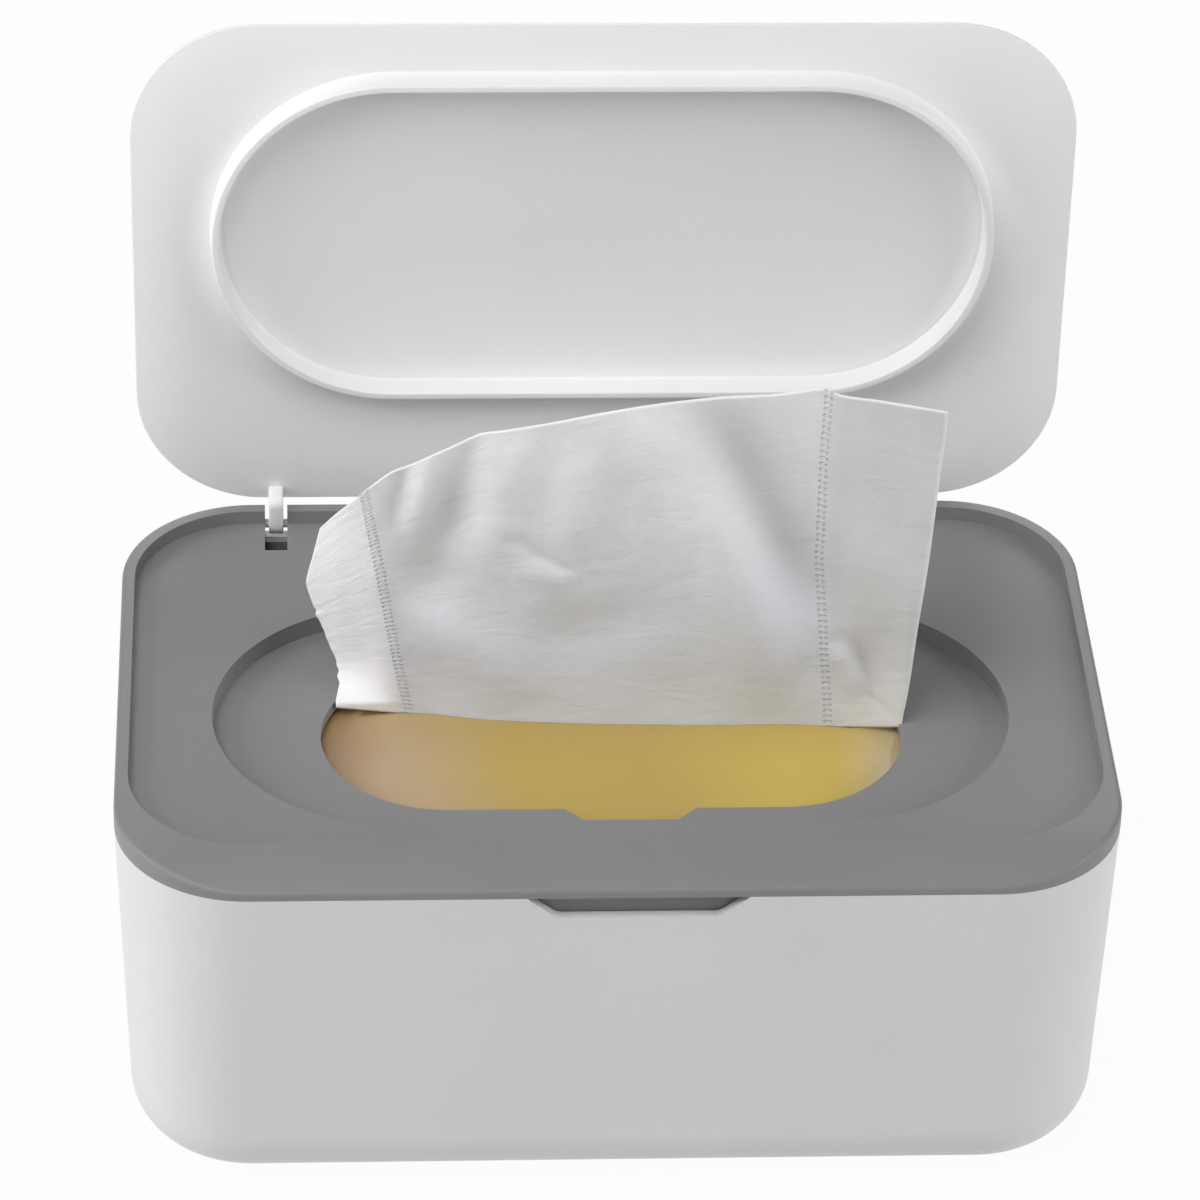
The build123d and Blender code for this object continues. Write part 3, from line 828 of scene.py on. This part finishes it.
def film_finish(colours):
    """Thin glossy film: the tint follows x along the pack, from a painted shadow at its very left to a
    painted highlight at its very right, and painted shade darkens it towards the back, near the wipe's foot,
    with soft wrinkles.
    """
    n = Nodes("pack_film")
    x = n.add("ShaderNodeSeparateXYZ", {"Vector": n.place}).outputs["X"]
    drift = n.math("MULTIPLY", n.math("SUBTRACT", n.noise(16, 2), 0.5), 0.024)
    along = n.spread(n.math("ADD", x, drift), 0.0, 1.0, -0.060, 0.060)
    ramp = n.add("ShaderNodeValToRGB", {"Fac": along})
    stops = (
        # The very left stop is painted shadow under the wipe's flap
        (0.01, colours.film_end_painted_shadow),
        (0.075, colours.film_left),
        (0.15, colours.film_left),
        (0.34, colours.film_middle),
        (0.55, colours.film_middle),
        (0.80, colours.film_bright),
        (0.87, colours.film_bright),
        # The very right stop is a painted highlight
        (0.97, colours.film_right_painted_highlight),
    )
    elements = ramp.color_ramp.elements
    for place, colour in stops[2:]:
        elements.new(place).color = tint(colour, 1)
    for element, (place, colour) in zip((elements[0], elements[-1]), stops[:2]):
        element.color = tint(colour, 1)
        element.position = place
    # Painted shade: the film darkens towards the back, near the wipe's foot
    depth = n.add("ShaderNodeSeparateXYZ", {"Vector": n.place}).outputs["Y"]
    back_painted_shade = n.mix(n.spread(depth, 0.0, 1.0, -0.013, 0.0), ramp.outputs["Color"], (0.40, 0.28, 0.10, 1.0))
    film = n.mix(0.45, ramp.outputs["Color"], back_painted_shade)
    wrinkle = n.bump(n.noise(60, 2, 0.5, warp=0.5), 0.0005, 0.3)
    skin = n.bump(n.noise(900, 2), 0.00001, before=wrinkle)
    return n.feed(Base_Color=film, Roughness=n.spread(n.noise(120, 3), 0.34, 0.48), Normal=skin)


# Embossed dots along a seam, in metres: how far from it, how wide the row is each way, and their pitch
DOT_OFFSET, DOT_REACH, DOT_PITCH = 0.00055, 0.00042, 0.00125


def cloth_finish(name, colour, seams):
    """Nonwoven cloth: tangled fibres as fine noise and a mottled colour. The pulled wipe also has paler torn
    edges, a row of embossed dots along each seam, drawn wrinkles, painted shade in its crease valleys and a
    painted highlight on its ridges, a painted highlight on its left flap and painted shade right of its right
    seam, and a cooler foot that makes up for the film's warm light."""
    n = Nodes(name)
    fibre = n.noise(2600, 4, 0.65, warp=1.2)
    cloud = n.noise(260, 3, 0.6)
    shade = n.mix(n.spread(cloud, 0.0, 1.0), tint(colour, 0.975), tint(colour, 1.025))
    shade = n.mix(n.spread(fibre, 0.0, 0.5), shade, tint(colour, 1.06))
    rough = n.spread(fibre, 0.85, 1.0)
    skin = n.bump(cloud, 0.00012, 0.5)
    skin = n.bump(fibre, 0.00013, 0.9, before=skin)
    if seams:
        place = n.add("ShaderNodeUVMap", uv_map="cloth").outputs["UV"]
        up = n.add("ShaderNodeSeparateXYZ", {"Vector": place}).outputs["Y"]
        facts = ("seam", "rim", "fold_painted_light", "warm", "flap")
        away, rim, fold_painted_light, warm, flap = (
            n.add("ShaderNodeAttribute", attribute_name=fact).outputs["Fac"] for fact in facts
        )
        # Painted shade in the crease valleys and a painted highlight on the crease ridges
        shade = n.mix(n.spread(fold_painted_light, 0.0, 1.0, 0.0, 0.0026), shade, tint(colour, 0.83))
        shade = n.mix(n.spread(fold_painted_light, 0.0, 1.0, 0.0, -0.0026), shade, tint(colour, 1.11))
        row = n.math("ABSOLUTE", n.math("SUBTRACT", away, DOT_OFFSET))
        row = n.math("SUBTRACT", 1.0, n.math("DIVIDE", row, DOT_REACH), clamp=True)
        dots = n.math("SINE", n.math("MULTIPLY", up, 2 * math.pi / DOT_PITCH))
        dots = n.math("MULTIPLY", n.spread(dots, 0.0, 1.0, -0.2, 0.5), row)
        shade = n.mix(n.math("MULTIPLY", dots, 0.3), shade, tint(colour, 0.80))
        band = n.math("SUBTRACT", 1.0, n.math("DIVIDE", away, 0.0014), clamp=True)
        shade = n.mix(n.math("MULTIPLY", band, 0.25), shade, tint(colour, 1.14))
        cool = [c * f for c, f in zip(colour, (0.915, 0.965, 1.07))] + [1.0]
        shade = n.mix(n.math("MULTIPLY", warm, 0.9), shade, cool)
        # Painted highlight on the left flap, painted shade right of the right seam
        shade = n.mix(n.spread(flap, 0.0, 1.0, 0.0, 1.0), shade, tint(colour, 1.18))
        shade = n.mix(n.spread(flap, 0.0, 1.0, 0.0, -1.0), shade, tint(colour, 0.84))
        pale = n.math("SUBTRACT", 1.0, n.math("DIVIDE", rim, 0.0007), clamp=True)
        shade = n.mix(n.math("MULTIPLY", pale, 0.9), shade, tint(colour, 1.26))
        stretch = {"Vector": place, "Rotation": (0, 0, 0.2), "Scale": (0.35, 1, 1)}
        drawn = n.add("ShaderNodeMapping", stretch).outputs[0]
        skin = n.bump(n.noise(230, 4, 0.55, place=drawn, warp=0.6), 0.0006, 0.45, before=skin)
        skin = n.bump(n.math("SUBTRACT", 1.0, dots), 0.00035, 0.9, before=skin)
    return n.feed(Base_Color=shade, Roughness=rough, Normal=skin, Sheen_Weight=0.15, Sheen_Roughness=0.6)


def floor_finish():
    """A pale floor that the camera sees as white with a faint shadow, and that lights the object plainly."""
    n = Nodes("floor_pale")
    tone = n.mix(n.spread(n.noise(3, 2), 0, 1), (0.72, 0.72, 0.72, 1), (0.74, 0.74, 0.74, 1))
    n.feed(Base_Color=tone, Roughness=0.9)
    n.shader.inputs["Specular IOR Level"].default_value = 0.2
    path = n.add("ShaderNodeLightPath")
    seen = n.math("MAXIMUM", path.outputs["Is Camera Ray"], path.outputs["Is Glossy Ray"])
    seen = n.math("MAXIMUM", seen, path.outputs["Is Transmission Ray"])
    glow = n.add("ShaderNodeEmission", {"Color": (1, 1, 1, 1), "Strength": 1.0}).outputs[0]
    share = n.math("MULTIPLY", seen, 0.96)
    both = n.add("ShaderNodeMixShader", {0: share, 1: n.shader.outputs[0], 2: glow}).outputs[0]
    n.tree.links.new(both, n.tree.nodes["Material Output"].inputs["Surface"])
    return n.material


def set_world(scene):
    """A plain grey sky for light and reflections, seen by the camera as white."""
    world = bpy.data.worlds.new("studio")
    scene.world = world
    world.use_nodes = True
    tree = world.node_tree
    sky = tree.nodes["Background"]
    sky.inputs["Color"].default_value = (1, 1, 1, 1)
    sky.inputs["Strength"].default_value = 0.12
    white = tree.nodes.new("ShaderNodeBackground")
    white.inputs["Color"].default_value = (1, 1, 1, 1)
    path = tree.nodes.new("ShaderNodeLightPath")
    mix = tree.nodes.new("ShaderNodeMixShader")
    tree.links.new(path.outputs["Is Camera Ray"], mix.inputs[0])
    tree.links.new(sky.outputs[0], mix.inputs[1])
    tree.links.new(white.outputs[0], mix.inputs[2])
    tree.links.new(mix.outputs[0], tree.nodes["World Output"].inputs["Surface"])


def lamp(name, place, target, size, watts):
    """A square soft lamp that looks at a point."""
    light = bpy.data.lights.new(name, "AREA")
    light.shape = "SQUARE"
    light.size = size
    light.energy = watts
    holder = bpy.data.objects.new(name, light)
    bpy.context.scene.collection.objects.link(holder)
    holder.location = place
    holder.rotation_euler = (Vector(target) - Vector(place)).to_track_quat("-Z", "Y").to_euler()


def set_camera(scene):
    """The camera of the reference view: place, heading, dip and roll."""
    yaw, dip, roll = (math.radians(a) for a in (3.43576, 34.56182, 1.54141))
    ahead = Vector((math.sin(yaw) * math.cos(dip), math.cos(yaw) * math.cos(dip), -math.sin(dip)))
    side = Vector((math.cos(yaw), -math.sin(yaw), 0))
    up = side.cross(ahead)
    right = side * math.cos(roll) + up * math.sin(roll)
    over = up * math.cos(roll) - side * math.sin(roll)
    camera = bpy.data.cameras.new("camera")
    camera.sensor_width = 36
    camera.lens = 176.664
    camera.clip_end = 50
    holder = bpy.data.objects.new("camera", camera)
    scene.collection.objects.link(holder)
    turn = Matrix((right, over, -ahead)).transposed().to_4x4()
    holder.matrix_world = Matrix.Translation((-0.0580998, -0.9273356, 0.7350688)) @ turn
    scene.camera = holder
    scene.view_settings.view_transform = "Standard"


class WIPES_PT_panel(bpy.types.Panel):
    """The case's pieces, sizes and colours"""

    bl_idname = "WIPES_PT_panel"
    bl_label = "Wipes Case"
    bl_space_type = "VIEW_3D"
    bl_region_type = "UI"
    bl_category = "Wipes Case"

    def draw(self, context):
        for piece in PIECES:
            self.layout.operator(piece.bl_idname)
        for group in (context.scene.wipes_sizes, context.scene.wipes_colours):
            box = self.layout.box()
            for key in group.__annotations__:
                box.prop(group, key)


PIECES = (
    WIPES_OT_shell,
    WIPES_OT_feet,
    WIPES_OT_cover,
    WIPES_OT_lid,
    WIPES_OT_seal,
    WIPES_OT_pack,
    WIPES_OT_wipe,
    WIPES_OT_stage,
)
CLASSES = (WIPES_PG_sizes, WIPES_PG_colours) + PIECES + (WIPES_PT_panel,)


def register():
    for item in CLASSES:
        bpy.utils.register_class(item)
    bpy.types.Scene.wipes_sizes = PointerProperty(type=WIPES_PG_sizes)
    bpy.types.Scene.wipes_colours = PointerProperty(type=WIPES_PG_colours)


def unregister():
    del bpy.types.Scene.wipes_colours
    del bpy.types.Scene.wipes_sizes
    for item in reversed(CLASSES):
        bpy.utils.unregister_class(item)


def main():
    """Builds every piece in order."""
    register()
    steps = bpy.ops.wipes_case
    steps.finish_shell()
    steps.finish_feet()
    steps.finish_cover()
    steps.add_lid()
    steps.add_seal()
    steps.add_pack()
    steps.add_wipe()
    steps.add_stage()


if __name__ == "__main__":
    main()
